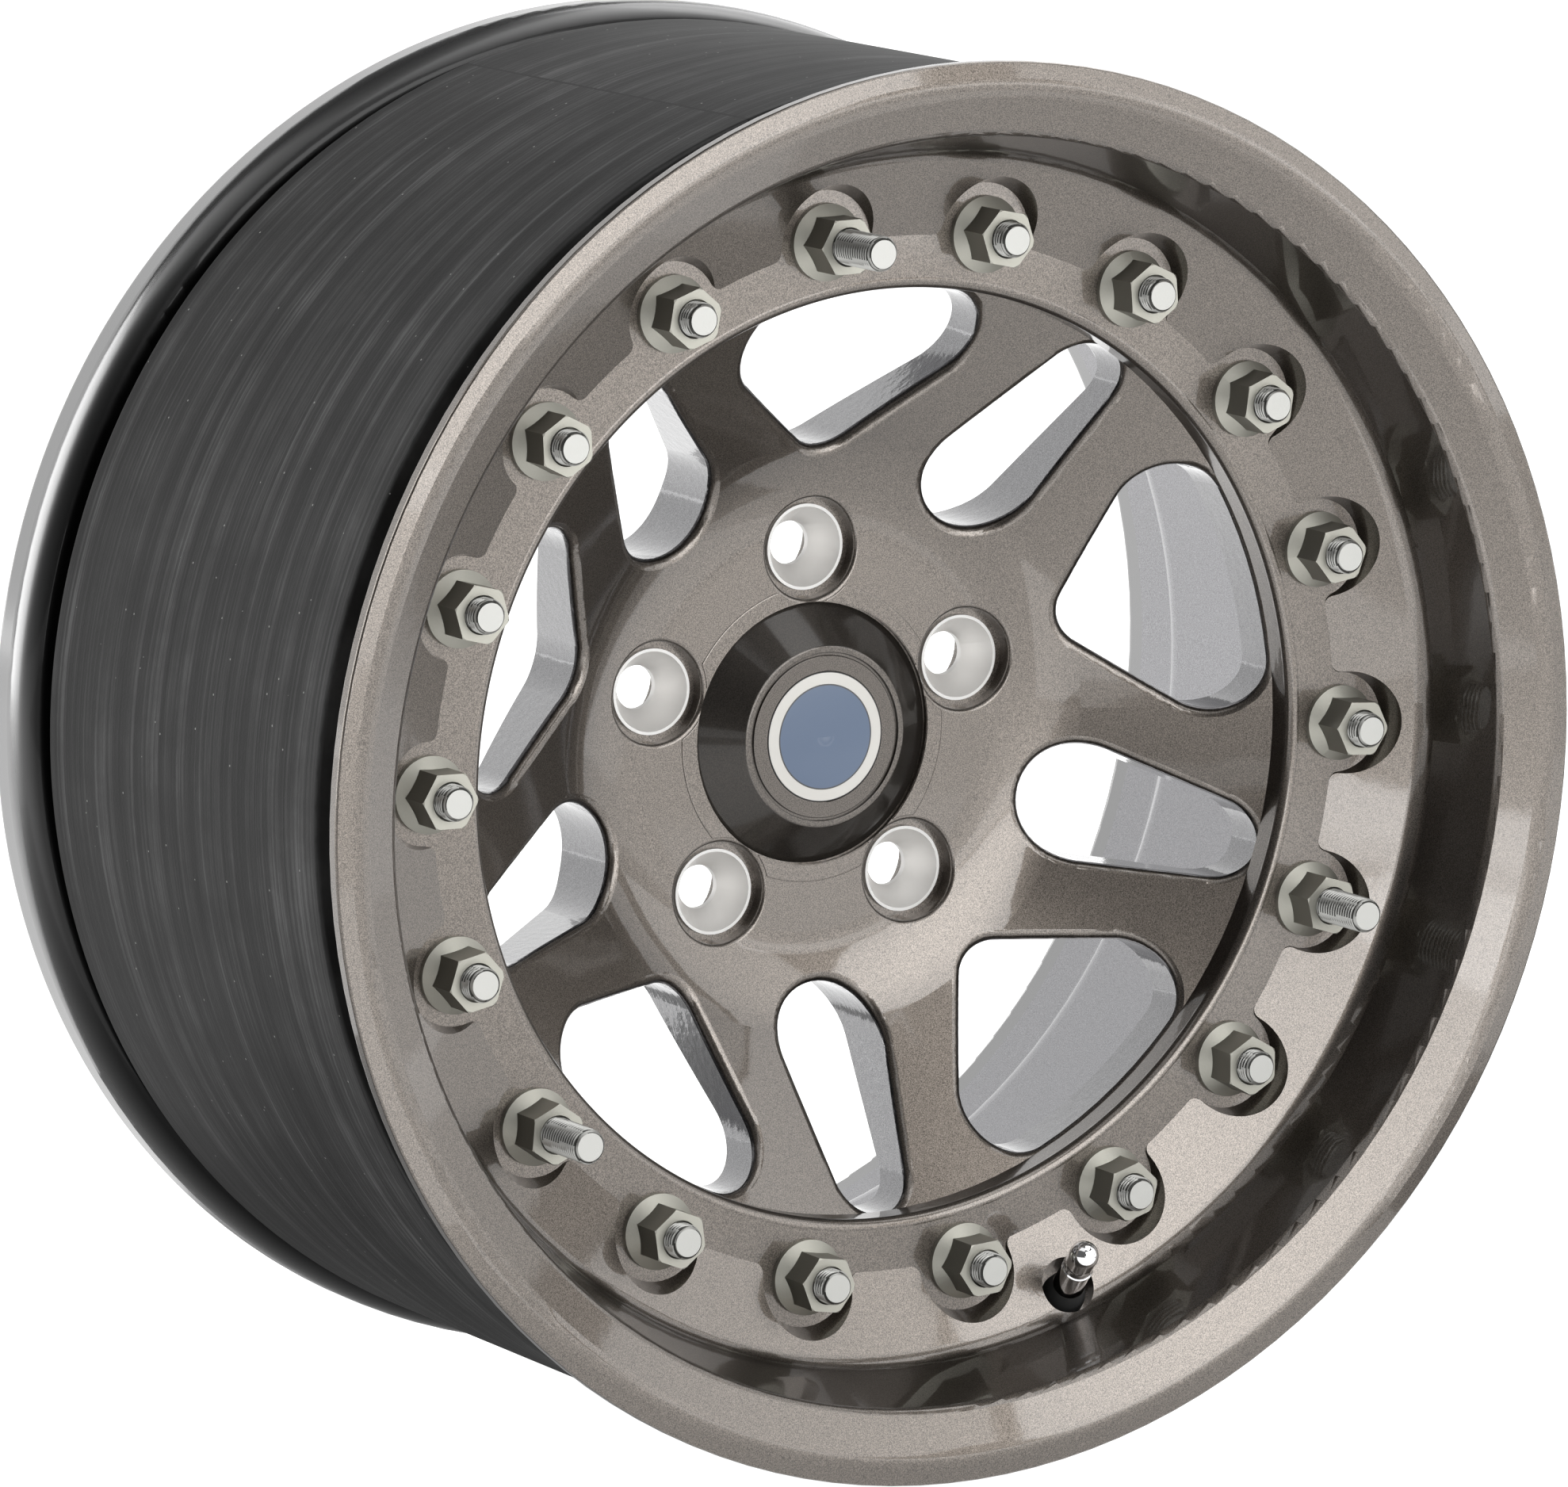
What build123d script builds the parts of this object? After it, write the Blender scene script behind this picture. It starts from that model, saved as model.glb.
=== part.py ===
"""Two-piece beadlock wheel: inner rim, bolted outer rim, rubber bead insert, studs, valve and centre cap.

Millimetres. The wheel turns about Y, the hub pad is the plane Y = 0 and the face looks towards -Y.
Wheel profiles are drawn as (radius, height), with height measured from the hub pad towards the face.
"""
import os
from math import cos, radians, sin, sqrt, tan

from build123d import *

os.makedirs("parts", exist_ok=True)

# Clearances
running_gap = 0.25
press_gap = 0.05
insert_gap = 0.4
bolt_gap = 0.3
cut_margin = 5.0

# Rim, tyre side
rim_width = 215.9
backspacing = 114.3
bead_seat_radius = 218.3
bead_seat_length = 22.0
bead_seat_taper = 5.0
bead_corner = 6.5
front_flange_height = 20.0
rear_flange_height = 18.7
rear_flange_wall = 8.7
rear_curl = 11.0
rear_lip_depth = 22.0
rear_lip_wall = 8.5
rear_lip_round = 4.0

# Barrel
well_depth = 18.3
barrel_wall = 6.5
barrel_ramp = 20.0
barrel_blend = 14.0
rear_seat_wall = 8.8

# Disc and hub
hub_thickness = 32.2
hub_bore_radius = 35.75
hub_bore_length = 13.5
cap_bore_radius = 38.0
cap_recess_radius = 45.2
cap_recess_depth = 2.0
dish_corner_radius = 85.5
dish_blend = 67.0
pad_radius = 89.0
pad_blend = 30.0
joint_height = 77.2
joint_edge = 3.1
flange_thickness = 18.5
flange_corner = 6.0

# Windows and slots
spoke_count = 5
window_setback = 0.5
window_inset = 7.05
window_side_angle = 37.4
window_apex_round = 15.0
window_corner_round = 16.0
slot_setback = 11.8
slot_inset = 17.0
slot_inner_round = 20.0
slot_outer_round = 13.5
window_edge_round = 3.0
pad_pocket_centre = 63.0
pad_pocket_half_angle = 11.0
pad_pocket_width = 17.0
pad_pocket_depth = 7.0

# Lugs
lug_circle = 63.5
lug_count = 5
lug_counterbore_radius = 17.5
lug_counterbore_depth = 5.2
lug_edge_round = 1.4
lug_hole_radius = 7.5
lug_relief_radius = 15.8
lug_relief_depth = 9.0
seat_body_radius = 13.5
seat_body_length = 11.8
seat_flange_radius = 14.75
seat_flange_thickness = 1.4
seat_cone_depth = 10.8
seat_half_angle = 30.0

# Outer rim, face side
platform_thickness = 9.0
platform_width = 19.65
platform_edge_round = 3.0
crease_inset = 1.85
dish_slope_angle = 22.96
dish_wall_inset = 13.2
dish_wall_lean = 8.4
dish_foot_round = 8.0
funnel_rise = 7.4
funnel_round = 4.0
ridge_inset = 9.0
ridge_rise = 14.2
ridge_round = 12.0
front_lip_rise = 12.9
front_lip_edge = 4.3
front_lip_round = 1.0
front_curl_inset = 7.8
front_curl = 12.0
skirt_inset = 4.3
skirt_length = 19.2
skirt_step = 4.0

# Studs, nuts and joint seal
stud_inset = 22.55
stud_count = 18
stud_start_angle = 98.13
long_stud_every = 6
stud_radius = 6.0
short_stud_proud = 5.5
long_stud_proud = 22.0
stud_tip_chamfer = 1.25
stud_head_radius = 9.5
stud_head_height = 4.0
nut_across_flats = 18.0
nut_flange_radius = 13.0
nut_flange_rim = 1.8
nut_flange_height = 4.4
nut_height = 15.7
nut_mouth_radius = 6.6
nut_crown_radius = 9.8
nut_crown_slope = 0.6
nut_clocking_angle = 47.0
pocket_radius = 17.3
pocket_corner_round = 3.4
pocket_draft = 17.0
seal_offset = 12.55
seal_width = 4.8
seal_depth = 4.2
seal_round = 1.5

# Bead insert
insert_rise = 14.1
insert_bead_gap = 11.7
insert_edge_round = 1.5
insert_ramp = 6.0

# Valve
valve_angle = -71.87
valve_offset = 21.7
valve_tilt_angle = 40.4
valve_pocket_radius = 9.4
valve_pocket_depth = 9.0
valve_web = 3.6
valve_hole_radius = 5.7
valve_relief_radius = 9.0
stem_radius = 3.75
stem_bore_radius = 2.7
stem_bore_bottom = 5.5
stem_air_radius = 1.6
stem_top = 24.0
stem_tail = 17.2
sleeve_bottom = 1.5
sleeve_top = 15.2
sleeve_bottom_radius = 5.6
sleeve_neck_radius = 5.05
sleeve_band_radius = 5.4
sleeve_band = 1.6
valve_cap_radius = 5.1
valve_cap_neck = 4.75
valve_cap_end = 28.6
valve_cap_seal_height = 1.4
core_bottom = 11.0
core_ledge = 16.0
core_top = 22.5
core_gasket_height = 3.0
core_neck_radius = 2.0
core_bore_radius = 1.2
pin_radius = 0.65
pin_top = 23.3
pin_collar_radius = 1.05
pin_collar = (20.9, 21.6)
pin_foot_radius = 1.3
pin_foot_height = 0.5
pin_seal_radius = 1.9
pin_seal_height = 2.3
spring_wire = 0.14
spring_radius = 0.86
spring_turns = 6

# Centre cap
cap_base_radius = 44.7
cap_base_edge = 0.4
cap_foot_radius = 41.0
cap_shoulder_radius = 30.9
cap_top = 40.4
cap_top_ring = 0.15
cap_shoulder_round = 1.4
cap_inner_height = 37.0
cap_leg_wall = 2.0
cap_leg_end = 15.5
cap_leg_slots = 6
cap_leg_slot_width = 9.0
cap_groove_radius = 28.8
cap_groove_width = 0.9
cap_groove_depth = 0.8
emblem_radius = 22.2
emblem_recess = 1.2
emblem_dome = 0.7
retaining_wire = 0.7
retaining_height = 21.0

# Heights and radii that follow from the sizes above
rear_bead = rear_lip_depth - backspacing
front_bead = rear_bead + rim_width
front_lip_radius = bead_seat_radius + front_flange_height
rear_lip_radius = bead_seat_radius + rear_flange_height
seat_end_radius = bead_seat_radius - bead_seat_length * tan(radians(bead_seat_taper))
rear_inner_radius = bead_seat_radius - rear_seat_wall
barrel_radius = bead_seat_radius - well_depth
barrel_inner_radius = barrel_radius - barrel_wall
stud_circle = barrel_radius - stud_inset
stud_hole_radius = stud_radius + bolt_gap
platform_radius = stud_circle - crease_inset
platform_bore_radius = stud_circle - platform_width
platform_height = joint_height + platform_thickness
joint_inner_radius = platform_bore_radius + joint_edge
flange_back = joint_height - flange_thickness
window_outer_radius = platform_bore_radius - window_setback
window_apex = pad_radius + window_inset
slot_outer_centre = window_outer_radius - slot_setback
slot_inner_centre = pad_radius + slot_inset
cap_seat = hub_thickness - cap_recess_depth
lug_floor = hub_thickness - lug_counterbore_depth
skirt_radius = bead_seat_radius - skirt_inset
skirt_top = front_bead - bead_seat_length - skirt_step
skirt_end = joint_height - skirt_length
seal_radius = stud_circle + seal_offset
insert_radius = bead_seat_radius + insert_rise
nut_top = platform_height + nut_height

# The wheel's half section: local x is the radius and local y the height
section = Plane(origin=(0, 0, 0), x_dir=(1, 0, 0), z_dir=(0, 0, -1))


def front_plane(radius, angle, height, turn=0.0):
    """A plane facing the front at a place on the wheel, turned about its own normal."""
    place = radians(angle)
    own = radians(turn)
    return Plane(
        origin=(radius * cos(place), -height, radius * sin(place)),
        x_dir=(cos(own), 0, sin(own)),
        z_dir=(0, -1, 0),
    )


def dish_height(radius):
    """Height of the disc's front face at a radius, without its blend."""
    slope = (joint_height - hub_thickness) / (joint_inner_radius - dish_corner_radius)
    return hub_thickness + max(0.0, radius - dish_corner_radius) * slope


def reach(point):
    """Distance of a point from the wheel's axis."""
    return sqrt(point.X ** 2 + point.Z ** 2)


def in_spokes(point):
    """Whether a point lies in the ring of windows and slots."""
    return pad_radius - 4 < reach(point) < window_outer_radius + 1


def in_hub(point):
    """Whether a point lies in the ring of lug holes."""
    return cap_recess_radius < reach(point) < pad_radius - 4


def on_dish(edge):
    """Whether an edge lies in the disc's front face, blend included."""
    rises = [-p.Y - dish_height(reach(p)) for p in (edge @ 0.1, edge @ 0.5, edge @ 0.9)]
    return all(-0.1 < rise < 3.0 for rise in rises)


def studs_at(long):
    """Angles of the long or of the short studs."""
    return [
        stud_start_angle - k * 360 / stud_count
        for k in range(stud_count)
        if (k % long_stud_every == 0) == long
    ]


# Outlines cut through the disc, drawn pointing away from the wheel's centre
side_x = cos(radians(window_side_angle))
side_y = sin(radians(window_side_angle))
side_half = window_apex * side_y
side_length = sqrt(side_half ** 2 + window_outer_radius ** 2 - window_apex ** 2) - side_half
corner_x = side_length * side_x
corner_y = window_apex + side_length * side_y

with BuildSketch() as window:
    with BuildLine():
        Polyline((-corner_x, corner_y), (0, window_apex), (corner_x, corner_y))
        ThreePointArc((corner_x, corner_y), (0, window_outer_radius), (-corner_x, corner_y))
    make_face()
    fillet(window.vertices().sort_by(Axis.Y)[0:1], window_apex_round)
    fillet(window.vertices().sort_by(Axis.X)[0:1], window_corner_round)
    fillet(window.vertices().sort_by(Axis.X)[-1:], window_corner_round)

with BuildSketch() as slot:
    with Locations((0, slot_inner_centre)):
        Circle(slot_inner_round)
    with Locations((0, slot_outer_centre)):
        Circle(slot_outer_round)
    make_hull()

with BuildSketch() as pad_pocket:
    with BuildLine(mode=Mode.PRIVATE) as pocket_line:
        CenterArc((0, 0), pad_pocket_centre, 90 - pad_pocket_half_angle, 2 * pad_pocket_half_angle)
    SlotArc(pocket_line.edges()[0], pad_pocket_width)

# Inner rim: barrel, rear flange and spoked disc in one casting
seal_inner = seal_radius - seal_width / 2 - press_gap
seal_outer = seal_radius + seal_width / 2 + press_gap
ramp_foot = rear_bead + bead_seat_length + skirt_step
inner_profile = [
    ((hub_bore_radius, 0), 0),
    ((hub_bore_radius, hub_bore_length), 0),
    ((cap_bore_radius, hub_bore_length), 0),
    ((cap_bore_radius, cap_seat), 0),
    ((cap_recess_radius, cap_seat), 0),
    ((cap_recess_radius, hub_thickness), 0),
    ((dish_corner_radius, hub_thickness), dish_blend),
    ((joint_inner_radius, joint_height), 0),
    ((seal_inner, joint_height), 0),
    ((seal_inner, joint_height - seal_depth), 0),
    ((seal_outer, joint_height - seal_depth), 0),
    ((seal_outer, joint_height), 0),
    ((barrel_radius, joint_height), 0.6),
    ((barrel_radius, ramp_foot + barrel_ramp), barrel_blend),
    ((seat_end_radius, ramp_foot), 8),
    ((bead_seat_radius, rear_bead), bead_corner),
    ((rear_lip_radius, rear_bead), rear_curl),
    ((rear_lip_radius, -backspacing), rear_lip_round),
    ((rear_lip_radius - rear_lip_wall, -backspacing), 3),
    ((rear_lip_radius - rear_lip_wall, rear_bead - rear_flange_wall), 5),
    ((rear_inner_radius, rear_bead - rear_flange_wall), 4),
    ((rear_inner_radius, ramp_foot), barrel_blend),
    ((barrel_inner_radius, ramp_foot + barrel_ramp), barrel_blend),
    ((barrel_inner_radius, flange_back), flange_corner),
    ((window_outer_radius, flange_back), flange_corner),
    ((pad_radius, 0), pad_blend),
]

with BuildPart() as inner_rim:
    with BuildSketch(section):
        with BuildLine():
            FilletPolyline(*[p for p, _ in inner_profile], radius=[r for _, r in inner_profile], close=True)
        make_face()
    revolve(axis=Axis.Y)
    with BuildSketch(Plane.XZ.offset(-1)):
        with PolarLocations(0, spoke_count):
            add(window.sketch)
        with PolarLocations(0, spoke_count, start_angle=180 / spoke_count):
            add(slot.sketch)
    extrude(amount=joint_height + cut_margin, mode=Mode.SUBTRACT)
    cut_walls = [f for f in inner_rim.faces() if abs(f.normal_at().Y) < 0.01 and in_spokes(f.center())]
    fillet([e for f in cut_walls for e in f.edges() if on_dish(e)], window_edge_round)
    with BuildSketch(Plane.XZ.offset(lug_floor)):
        with PolarLocations(lug_circle, lug_count, start_angle=90):
            Circle(lug_counterbore_radius)
    extrude(amount=lug_counterbore_depth + cut_margin, mode=Mode.SUBTRACT)
    lug_walls = [f for f in inner_rim.faces() if abs(f.normal_at().Y) < 0.01 and in_hub(f.center())]
    fillet([e for f in lug_walls for e in f.edges() if on_dish(e)], lug_edge_round)
    with BuildSketch(Plane.XZ.offset(-1)):
        with PolarLocations(lug_circle, lug_count, start_angle=90):
            Circle(seat_body_radius + press_gap)
    extrude(amount=lug_floor + 2, mode=Mode.SUBTRACT)
    with BuildSketch(Plane.XZ):
        with PolarLocations(lug_circle, lug_count, start_angle=90):
            Circle(lug_relief_radius)
    extrude(amount=lug_relief_depth, mode=Mode.SUBTRACT)
    with BuildSketch(Plane.XZ):
        with PolarLocations(0, lug_count, start_angle=180 / lug_count):
            add(pad_pocket.sketch)
    extrude(amount=pad_pocket_depth, mode=Mode.SUBTRACT)
    with BuildSketch(Plane.XZ.offset(flange_back - cut_margin)):
        with PolarLocations(stud_circle, stud_count, start_angle=stud_start_angle):
            Circle(stud_hole_radius)
    extrude(amount=flange_thickness + 2 * cut_margin, mode=Mode.SUBTRACT)
inner_rim.part.label = "inner_rim"
export_step(inner_rim.part, "parts/inner_rim.step")

# Outer rim: the bolted front flange
platform_slope = tan(radians(dish_slope_angle))
wall_foot_radius = bead_seat_radius - dish_wall_inset
wall_foot = platform_height + (wall_foot_radius - platform_radius) * platform_slope
pocket_depth = (stud_circle + pocket_radius - platform_radius) * platform_slope
pocket_rise = pocket_depth / (1 - platform_slope * tan(radians(pocket_draft)))
valve_radius = platform_radius + valve_offset
valve_height = platform_height + (valve_radius - platform_radius) * platform_slope
valve_place = radians(valve_angle)
valve_lean = radians(valve_tilt_angle)
valve_centre = (valve_radius * cos(valve_place), -valve_height, valve_radius * sin(valve_place))
valve_axis = (-sin(valve_lean) * cos(valve_place), -cos(valve_lean), -sin(valve_lean) * sin(valve_place))
valve_across = (-sin(valve_place), 0, cos(valve_place))
valve_mouth = Plane(origin=valve_centre, x_dir=valve_across, z_dir=valve_axis)
outer_profile = [
    ((platform_bore_radius, dish_height(platform_bore_radius) + press_gap), 0),
    ((platform_bore_radius, platform_height), platform_edge_round),
    ((platform_radius, platform_height), 0),
    ((wall_foot_radius, wall_foot), dish_foot_round),
    ((wall_foot_radius + dish_wall_lean, front_bead + funnel_rise), funnel_round),
    ((front_lip_radius - ridge_inset, front_bead + ridge_rise), ridge_round),
    ((front_lip_radius, front_bead + front_lip_rise), front_lip_round),
    ((front_lip_radius, front_bead + front_lip_rise - front_lip_edge), front_lip_round),
    ((front_lip_radius - front_curl_inset, front_bead), front_curl),
    ((bead_seat_radius, front_bead), bead_corner),
    ((seat_end_radius, front_bead - bead_seat_length), 3),
    ((skirt_radius, skirt_top), 3),
    ((skirt_radius, skirt_end), 1.5),
    ((barrel_radius + running_gap, skirt_end), 1.0),
    ((barrel_radius + running_gap, joint_height), 0),
    ((joint_inner_radius, joint_height), 0),
]

with BuildPart() as outer_rim:
    with BuildSketch(section):
        with BuildLine():
            FilletPolyline(*[p for p, _ in outer_profile], radius=[r for _, r in outer_profile], close=True)
        make_face()
    revolve(axis=Axis.Y)
    with BuildSketch(Plane.XZ.offset(platform_height)) as pockets:
        Circle(platform_radius)
        with PolarLocations(stud_circle, stud_count, start_angle=stud_start_angle):
            Circle(pocket_radius)
        fillet([v for v in pockets.vertices() if abs(v.Y) > press_gap], pocket_corner_round)
    extrude(amount=pocket_rise + 0.2, taper=-pocket_draft, mode=Mode.SUBTRACT)
    with BuildSketch(Plane.XZ.offset(joint_height - 1)):
        with PolarLocations(stud_circle, stud_count, start_angle=stud_start_angle):
            Circle(stud_hole_radius)
    extrude(amount=platform_thickness + 2, mode=Mode.SUBTRACT)
    with BuildSketch(valve_mouth.offset(-valve_pocket_depth)):
        Circle(valve_pocket_radius)
    extrude(amount=valve_pocket_depth * 2, mode=Mode.SUBTRACT)
    with BuildSketch(valve_mouth):
        Circle(valve_hole_radius)
    extrude(amount=-valve_pocket_depth - valve_web - 1, mode=Mode.SUBTRACT)
    with BuildSketch(valve_mouth.offset(-valve_pocket_depth - valve_web)):
        Circle(valve_relief_radius)
    extrude(amount=-skirt_length * 2, mode=Mode.SUBTRACT)
outer_rim.part.label = "outer_rim"
export_step(outer_rim.part, "parts/outer_rim.step")

# Rubber bead insert, a hoop that fills the space between the tyre's beads
bead_slope = tan(radians(bead_seat_taper))
insert_front = front_bead - insert_bead_gap
insert_rear = rear_bead + insert_bead_gap
insert_end_radius = bead_seat_radius - insert_bead_gap * bead_slope + insert_gap
insert_profile = [
    ((insert_end_radius, insert_front), 0),
    ((seat_end_radius + insert_gap, skirt_top), 0),
    ((skirt_radius + insert_gap, skirt_top - insert_ramp), 0),
    ((skirt_radius + insert_gap, skirt_end - cut_margin / 2), 0),
    ((barrel_radius + insert_gap, skirt_end - cut_margin / 2 - insert_ramp), 0),
    ((barrel_radius + insert_gap, ramp_foot + barrel_ramp + insert_ramp), 0),
    ((seat_end_radius + insert_gap, ramp_foot + insert_ramp / 2), 0),
    ((insert_end_radius, insert_rear), 0),
    ((insert_radius, insert_rear), insert_edge_round),
    ((insert_radius, insert_front), insert_edge_round),
]

with BuildPart() as bead_insert:
    with BuildSketch(section):
        with BuildLine():
            FilletPolyline(*[p for p, _ in insert_profile], radius=[r for _, r in insert_profile], close=True)
        make_face()
    revolve(axis=Axis.Y)
bead_insert.part.label = "bead_insert"
export_step(bead_insert.part, "parts/bead_insert.step")

# O-ring squeezed into the groove between the two rim halves
with BuildPart() as rim_seal:
    with BuildSketch(section):
        with Locations((seal_radius, joint_height - seal_depth / 2)):
            RectangleRounded(seal_width, seal_depth, seal_round)
    revolve(axis=Axis.Y)
rim_seal.part.label = "rim_seal"
export_step(rim_seal.part, "parts/rim_seal.step")


# Studs, pressed into the inner rim from behind
def stud_outline(proud):
    """Half outline of a stud whose tip stands that far out of its nut, with its head's bearing face at 0."""
    length = nut_top + proud - flange_back
    return [
        (0, -stud_head_height),
        (stud_head_radius, -stud_head_height),
        (stud_head_radius, 0),
        (stud_radius, 0),
        (stud_radius, length - stud_tip_chamfer),
        (stud_radius - stud_tip_chamfer, length),
        (0, length),
    ]


with BuildPart() as short_stud:
    with BuildSketch(Plane.XZ):
        with BuildLine():
            Polyline(*stud_outline(short_stud_proud), close=True)
        make_face()
    revolve(axis=Axis.Z)

with BuildPart() as short_studs:
    with Locations(*[front_plane(stud_circle, angle, flange_back) for angle in studs_at(long=False)]):
        add(short_stud.part)
short_studs.part.label = "short_studs"
export_step(short_studs.part, "parts/short_studs.step")

with BuildPart() as long_stud:
    with BuildSketch(Plane.XZ):
        with BuildLine():
            Polyline(*stud_outline(long_stud_proud), close=True)
        make_face()
    revolve(axis=Axis.Z)

with BuildPart() as long_studs:
    with Locations(*[front_plane(stud_circle, angle, flange_back) for angle in studs_at(long=True)]):
        add(long_stud.part)
long_studs.part.label = "long_studs"
export_step(long_studs.part, "parts/long_studs.step")

# Hexagon flange nuts, each tightened to its own turn
crown_reach = nut_across_flats / sqrt(3) + running_gap
crown_profile = [
    (0, 0),
    (crown_reach, 0),
    (crown_reach, nut_height - nut_crown_slope * (crown_reach - nut_crown_radius)),
    (nut_crown_radius, nut_height),
    (0, nut_height),
]
nut_flange_profile = [
    (0, 0),
    (nut_flange_radius, 0),
    (nut_flange_radius, nut_flange_rim),
    (nut_across_flats / 2, nut_flange_height),
    (0, nut_flange_height),
]
nut_bore_radius = stud_radius + press_gap

with BuildPart() as clamp_nut:
    with BuildSketch():
        RegularPolygon(nut_across_flats / 2, 6, major_radius=False)
    extrude(amount=nut_height)
    with BuildSketch(Plane.XZ):
        with BuildLine():
            Polyline(*crown_profile, close=True)
        make_face()
    revolve(axis=Axis.Z, mode=Mode.INTERSECT)
    with BuildSketch(Plane.XZ):
        with BuildLine():
            Polyline(*nut_flange_profile, close=True)
        make_face()
    revolve(axis=Axis.Z)
    with BuildSketch():
        Circle(nut_bore_radius)
    extrude(amount=nut_height, mode=Mode.SUBTRACT)
    with BuildSketch(Plane.XY.offset(nut_height)):
        Circle(nut_mouth_radius)
    extrude(amount=nut_bore_radius - nut_mouth_radius, taper=45, mode=Mode.SUBTRACT)

nut_places = [
    front_plane(stud_circle, stud_start_angle - k * 360 / stud_count, platform_height, k * nut_clocking_angle)
    for k in range(stud_count)
]
with BuildPart() as clamp_nuts:
    with Locations(*nut_places):
        add(clamp_nut.part)
clamp_nuts.part.label = "clamp_nuts"
export_step(clamp_nuts.part, "parts/clamp_nuts.step")

# Steel seats pressed into the lug holes
seat_lip = lug_floor + seat_flange_thickness
with BuildPart() as lug_seats:
    with BuildSketch(Plane.XZ.offset(lug_floor - seat_body_length)):
        with PolarLocations(lug_circle, lug_count, start_angle=90):
            Circle(seat_body_radius)
    extrude(amount=seat_body_length)
    with BuildSketch(Plane.XZ.offset(lug_floor)):
        with PolarLocations(lug_circle, lug_count, start_angle=90):
            Circle(seat_flange_radius)
    extrude(amount=seat_flange_thickness)
    with BuildSketch(Plane.XZ):
        with PolarLocations(lug_circle, lug_count, start_angle=90):
            Circle(lug_hole_radius)
    extrude(amount=seat_lip + 1, mode=Mode.SUBTRACT)
    with BuildSketch(Plane.XZ.offset(seat_lip - seat_cone_depth)):
        with PolarLocations(lug_circle, lug_count, start_angle=90):
            Circle(lug_hole_radius)
    extrude(amount=seat_cone_depth, taper=-seat_half_angle, mode=Mode.SUBTRACT)
lug_seats.part.label = "lug_seats"
export_step(lug_seats.part, "parts/lug_seats.step")

# Valve, drawn as (radius, reach) with the reach measured along its own axis from the mouth of its pocket
valve_line = Axis(origin=valve_centre, direction=valve_axis)
valve_normal = Vector(*valve_across).cross(Vector(*valve_axis))
valve_section = Plane(origin=valve_centre, x_dir=valve_across, z_dir=valve_normal)
web_front = -valve_pocket_depth
web_back = web_front - valve_web
stem_fit = stem_radius + press_gap
grommet_profile = [
    (stem_fit, web_back - 4.2),
    (7.2, web_back - 4.2),
    (7.2, web_back - press_gap),
    (valve_hole_radius - press_gap, web_back - press_gap),
    (valve_hole_radius - press_gap, web_front + press_gap),
    (7.5, web_front + press_gap),
    (7.5, web_front + 2.5),
    (sleeve_bottom_radius, sleeve_bottom - press_gap),
    (stem_fit, sleeve_bottom - press_gap),
]

with BuildPart() as valve_grommet:
    with BuildSketch(valve_section):
        with BuildLine():
            Polyline(*grommet_profile, close=True)
        make_face()
    revolve(axis=valve_line)
valve_grommet.part.label = "valve_grommet"
export_step(valve_grommet.part, "parts/valve_grommet.step")

stem_profile = [
    (stem_air_radius, -stem_tail),
    (stem_radius, -stem_tail),
    (stem_radius, stem_top),
    (stem_bore_radius, stem_top),
    (stem_bore_radius, stem_bore_bottom),
    (stem_air_radius, stem_bore_bottom),
]

with BuildPart() as valve_stem:
    with BuildSketch(valve_section):
        with BuildLine():
            Polyline(*stem_profile, close=True)
        make_face()
    revolve(axis=valve_line)
valve_stem.part.label = "valve_stem"
export_step(valve_stem.part, "parts/valve_stem.step")

band_foot = sleeve_top - sleeve_band
sleeve_profile = [
    (stem_fit, sleeve_bottom),
    (sleeve_bottom_radius, sleeve_bottom),
    (sleeve_neck_radius, band_foot - 0.5),
    (sleeve_band_radius, band_foot),
    (sleeve_band_radius, sleeve_top - 0.4),
    (sleeve_band_radius - 0.4, sleeve_top),
    (stem_fit, sleeve_top),
]

with BuildPart() as valve_sleeve:
    with BuildSketch(valve_section):
        with BuildLine():
            Polyline(*sleeve_profile, close=True)
        make_face()
    revolve(axis=valve_line)
valve_sleeve.part.label = "valve_sleeve"
export_step(valve_sleeve.part, "parts/valve_sleeve.step")

cap_bottom = sleeve_top + running_gap
cap_ceiling = stem_top + valve_cap_seal_height
cap_fit = stem_radius + press_gap * 2
valve_cap_profile = [
    ((cap_fit, cap_bottom), 0),
    ((valve_cap_radius, cap_bottom), 0.2),
    ((valve_cap_neck, cap_bottom + 1.6), 1),
    ((valve_cap_radius, cap_bottom + 3.6), 1),
    ((valve_cap_radius, valve_cap_end), valve_cap_radius - 0.1),
    ((0, valve_cap_end), 0),
    ((0, cap_ceiling), 0),
    ((cap_fit, cap_ceiling), 0),
]

with BuildPart() as valve_cap:
    with BuildSketch(valve_section):
        with BuildLine():
            FilletPolyline(
                *[p for p, _ in valve_cap_profile], radius=[r for _, r in valve_cap_profile], close=True
            )
        make_face()
    revolve(axis=valve_line)
valve_cap.part.label = "valve_cap"
export_step(valve_cap.part, "parts/valve_cap.step")

with BuildPart() as valve_cap_seal:
    with BuildSketch(valve_mouth.offset(stem_top)):
        Circle(stem_radius)
    extrude(amount=valve_cap_seal_height)
valve_cap_seal.part.label = "valve_cap_seal"
export_step(valve_cap_seal.part, "parts/valve_cap_seal.step")

# Valve core: a plug with a sprung pin through it
pin_hole_radius = pin_radius + 0.2
core_profile = [
    (core_bore_radius, core_top),
    (stem_bore_radius - press_gap, core_top),
    (stem_bore_radius - press_gap, core_ledge),
    (core_neck_radius, core_ledge),
    (core_neck_radius, core_bottom),
    (pin_hole_radius, core_bottom),
    (pin_hole_radius, core_ledge),
    (core_bore_radius, core_ledge),
]

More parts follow.
